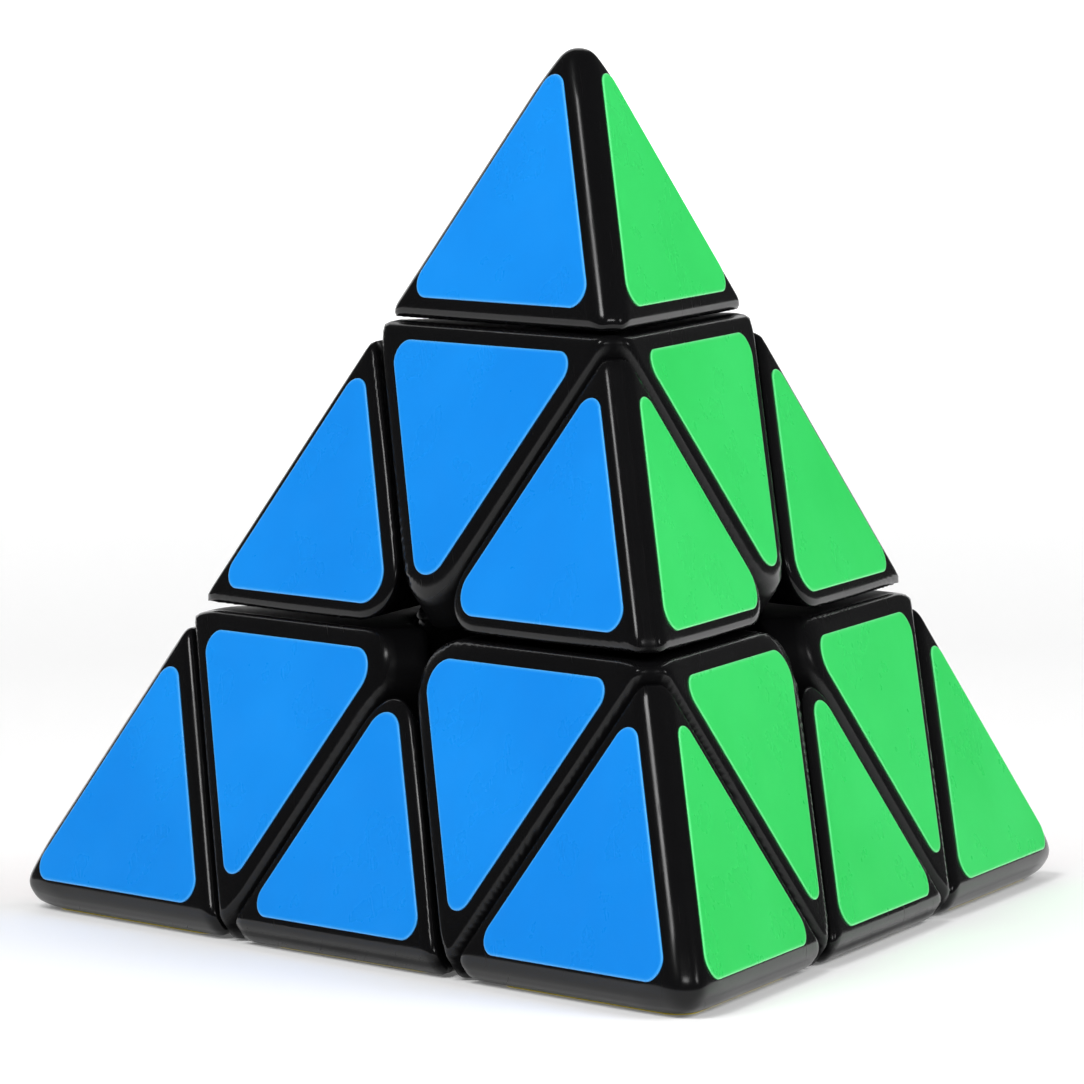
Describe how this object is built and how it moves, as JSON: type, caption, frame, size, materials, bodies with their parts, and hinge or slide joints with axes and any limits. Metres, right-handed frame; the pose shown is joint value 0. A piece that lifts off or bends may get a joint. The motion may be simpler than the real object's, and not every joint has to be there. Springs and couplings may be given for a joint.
{
  "type": "pyramid twisty puzzle",
  "caption": "Tetrahedral twisty puzzle: black pieces on a sprung core, with coloured stickers, turning layers at every vertex and separately turning tips.",
  "frame": {"origin": "centre of the core, which is the centroid of the puzzle", "axes": "+Z through the top vertex, -Y towards the front vertex, +X towards the right of the back ridge; the puzzle rests on the face opposite the top vertex"},
  "size_m": [0.0984, 0.086, 0.0814],
  "materials": {
    "black_plastic": "glossy injection-moulded",
    "inner_plastic": "as moulded",
    "steel": "zinc plated",
    "sticker_blue": "satin vinyl",
    "sticker_green": "satin vinyl",
    "sticker_red": "satin vinyl",
    "sticker_yellow": "satin vinyl"
  },
  "bodies": {
    "core": {"core": "inner_plastic", "tension_screws": "steel", "tension_springs": "steel", "spring_washers": "steel"},
    "corner_top": {"corner_top": "black_plastic", "sticker_corner_top_blue": "sticker_blue", "sticker_corner_top_green": "sticker_green", "sticker_corner_top_red": "sticker_red"},
    "corner_front": {"corner_front": "black_plastic", "sticker_corner_front_blue": "sticker_blue", "sticker_corner_front_green": "sticker_green", "sticker_corner_front_yellow": "sticker_yellow"},
    "corner_left": {"corner_left": "black_plastic", "sticker_corner_left_blue": "sticker_blue", "sticker_corner_left_red": "sticker_red", "sticker_corner_left_yellow": "sticker_yellow"},
    "corner_right": {"corner_right": "black_plastic", "sticker_corner_right_green": "sticker_green", "sticker_corner_right_red": "sticker_red", "sticker_corner_right_yellow": "sticker_yellow"},
    "tip_top": {"tip_top": "black_plastic", "stem_top": "inner_plastic", "sticker_tip_top_blue": "sticker_blue", "sticker_tip_top_green": "sticker_green", "sticker_tip_top_red": "sticker_red"},
    "tip_front": {"tip_front": "black_plastic", "stem_front": "inner_plastic", "sticker_tip_front_blue": "sticker_blue", "sticker_tip_front_green": "sticker_green", "sticker_tip_front_yellow": "sticker_yellow"},
    "tip_left": {"tip_left": "black_plastic", "stem_left": "inner_plastic", "sticker_tip_left_blue": "sticker_blue", "sticker_tip_left_red": "sticker_red", "sticker_tip_left_yellow": "sticker_yellow"},
    "tip_right": {"tip_right": "black_plastic", "stem_right": "inner_plastic", "sticker_tip_right_green": "sticker_green", "sticker_tip_right_red": "sticker_red", "sticker_tip_right_yellow": "sticker_yellow"},
    "edge_top_front": {"edge_top_front": "black_plastic", "sticker_edge_top_front_blue": "sticker_blue", "sticker_edge_top_front_green": "sticker_green"},
    "edge_top_left": {"edge_top_left": "black_plastic", "sticker_edge_top_left_blue": "sticker_blue", "sticker_edge_top_left_red": "sticker_red"},
    "edge_top_right": {"edge_top_right": "black_plastic", "sticker_edge_top_right_green": "sticker_green", "sticker_edge_top_right_red": "sticker_red"},
    "edge_front_left": {"edge_front_left": "black_plastic", "sticker_edge_front_left_blue": "sticker_blue", "sticker_edge_front_left_yellow": "sticker_yellow"},
    "edge_front_right": {"edge_front_right": "black_plastic", "sticker_edge_front_right_green": "sticker_green", "sticker_edge_front_right_yellow": "sticker_yellow"},
    "edge_left_right": {"edge_left_right": "black_plastic", "sticker_edge_left_right_red": "sticker_red", "sticker_edge_left_right_yellow": "sticker_yellow"}
  },
  "joints": [
    {"name": "layer_top", "type": "hinge", "parent": "core", "child": "corner_top", "pos_m": [0, 0, 0], "axis": [0, 0, 1], "range_deg": [-240, 120]},
    {"name": "layer_front", "type": "hinge", "parent": "core", "child": "corner_front", "pos_m": [0, 0, 0], "axis": [0, -0.9428, -0.3333], "range_deg": [-240, 120]},
    {"name": "layer_left", "type": "hinge", "parent": "core", "child": "corner_left", "pos_m": [0, 0, 0], "axis": [-0.8165, 0.4714, -0.3333], "range_deg": [-240, 120]},
    {"name": "layer_right", "type": "hinge", "parent": "core", "child": "corner_right", "pos_m": [0, 0, 0], "axis": [0.8165, 0.4714, -0.3333], "range_deg": [-240, 120]},
    {"name": "tip_turn_top", "type": "hinge", "parent": "corner_top", "child": "tip_top", "pos_m": [0, 0, 0], "axis": [0, 0, 1], "continuous": true},
    {"name": "tip_turn_front", "type": "hinge", "parent": "corner_front", "child": "tip_front", "pos_m": [0, 0, 0], "axis": [0, -0.9428, -0.3333], "continuous": true},
    {"name": "tip_turn_left", "type": "hinge", "parent": "corner_left", "child": "tip_left", "pos_m": [0, 0, 0], "axis": [-0.8165, 0.4714, -0.3333], "continuous": true},
    {"name": "tip_turn_right", "type": "hinge", "parent": "corner_right", "child": "tip_right", "pos_m": [0, 0, 0], "axis": [0.8165, 0.4714, -0.3333], "continuous": true},
    {"name": "edge_top_front_turn", "type": "hinge", "parent": "corner_top", "child": "edge_top_front", "pos_m": [0, 0, 0], "axis": [0, -0.9428, -0.3333], "range_deg": [-240, 120]},
    {"name": "edge_top_left_turn", "type": "hinge", "parent": "corner_top", "child": "edge_top_left", "pos_m": [0, 0, 0], "axis": [-0.8165, 0.4714, -0.3333], "range_deg": [-240, 120]},
    {"name": "edge_top_right_turn", "type": "hinge", "parent": "corner_top", "child": "edge_top_right", "pos_m": [0, 0, 0], "axis": [0.8165, 0.4714, -0.3333], "range_deg": [-240, 120]},
    {"name": "edge_front_left_turn", "type": "hinge", "parent": "corner_left", "child": "edge_front_left", "pos_m": [0, 0, 0], "axis": [0, -0.9428, -0.3333], "range_deg": [-240, 120]},
    {"name": "edge_front_right_turn", "type": "hinge", "parent": "corner_front", "child": "edge_front_right", "pos_m": [0, 0, 0], "axis": [0.8165, 0.4714, -0.3333], "range_deg": [-240, 120]},
    {"name": "edge_left_right_turn", "type": "hinge", "parent": "corner_right", "child": "edge_left_right", "pos_m": [0, 0, 0], "axis": [-0.8165, 0.4714, -0.3333], "range_deg": [-240, 120]}
  ],
  "couplings": [
    {"joint": "edge_top_front_turn", "follows": "layer_front", "ratio": 1},
    {"joint": "edge_top_left_turn", "follows": "layer_left", "ratio": 1},
    {"joint": "edge_top_right_turn", "follows": "layer_right", "ratio": 1},
    {"joint": "edge_front_left_turn", "follows": "layer_front", "ratio": 1},
    {"joint": "edge_front_right_turn", "follows": "layer_right", "ratio": 1},
    {"joint": "edge_left_right_turn", "follows": "layer_left", "ratio": 1}
  ]
}
